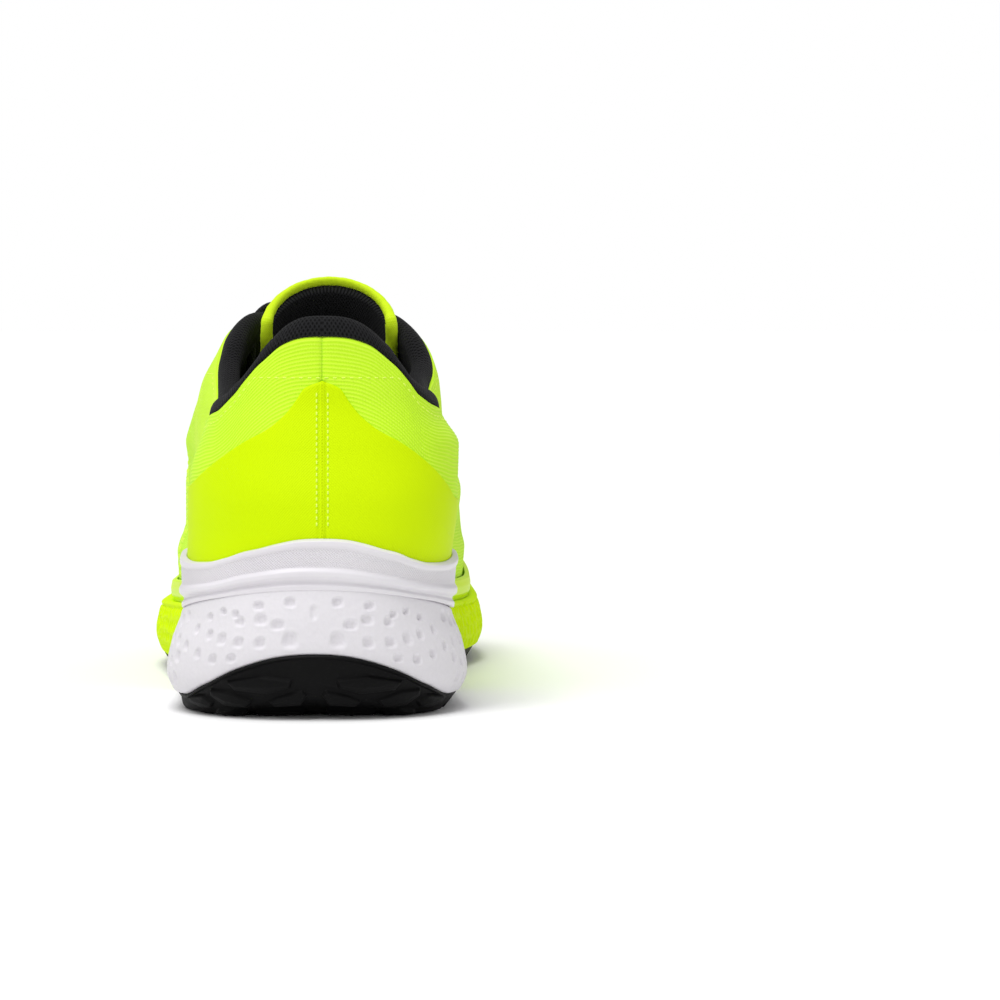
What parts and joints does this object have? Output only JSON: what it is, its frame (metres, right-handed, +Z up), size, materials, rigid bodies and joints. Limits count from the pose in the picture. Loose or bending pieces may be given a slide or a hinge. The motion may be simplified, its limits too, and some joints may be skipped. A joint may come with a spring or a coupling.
{
  "type": "running shoe",
  "caption": "Left running shoe: lugged rubber outsole, sculpted foam midsole, moulded heel clip, knit upper with padded collar, padded tongue and laces.",
  "frame": {"origin": "centre of the bounding box, on the ground under the sole", "axes": "+Y from heel to toe, +X to the medial side, +Z up"},
  "size_m": [0.1029, 0.2861, 0.1206],
  "materials": {
    "outsole_rubber": "matte carbon rubber",
    "foam_white": "matte moulded EVA foam",
    "foam_yellow": "matte moulded EVA foam",
    "clip_white": "satin moulded TPU",
    "rail_yellow": "satin moulded TPU",
    "board": "stitched nonwoven board",
    "sockliner": "brushed textile over foam",
    "stiffener": "thermoformed sheet",
    "knit_yellow": "ribbed knit mesh",
    "film_yellow": "smooth welded film",
    "lining_black": "black spacer mesh",
    "foam_grey": "soft open-cell foam",
    "lace_black": "flat woven polyester",
    "aglet_black": "shrunk plastic film"
  },
  "bodies": {
    "shoe": {"outsole_rear": "outsole_rubber", "outsole_front": "outsole_rubber", "midsole_rear": "foam_white", "midsole_front": "foam_yellow", "heel_clip": "clip_white", "front_rail": "rail_yellow", "strobel_board": "board", "heel_counter": "stiffener", "toe_puff": "stiffener", "vamp": "knit_yellow", "quarter_lateral": "knit_yellow", "quarter_medial": "knit_yellow", "heel_overlay_lateral": "film_yellow", "heel_overlay_medial": "film_yellow", "toe_cap": "film_yellow", "eyestay_lateral": "film_yellow", "eyestay_medial": "film_yellow", "collar_pad_lateral": "foam_grey", "collar_pad_medial": "foam_grey", "collar_lining_lateral": "lining_black", "collar_lining_medial": "lining_black", "heel_lining": "lining_black", "vamp_lining": "lining_black", "lace": "lace_black", "aglet_lateral": "aglet_black", "aglet_medial": "aglet_black"},
    "tongue": {"tongue_shell": "knit_yellow", "tongue_pad": "foam_grey", "tongue_lining": "lining_black", "tongue_binding": "film_yellow"},
    "insole": {"insole": "sockliner"}
  },
  "joints": [
    {"name": "tongue_fold", "type": "hinge", "parent": "shoe", "child": "tongue", "pos_m": [0.0033, 0.06292, 0.06182], "axis": [1, 0, 0], "range_deg": [0, 8]},
    {"name": "insole_lift", "type": "hinge", "parent": "shoe", "child": "insole", "pos_m": [0.00746, 0.13328, 0.02628], "axis": [-1, 0, 0], "range_deg": [0, 4]}
  ]
}
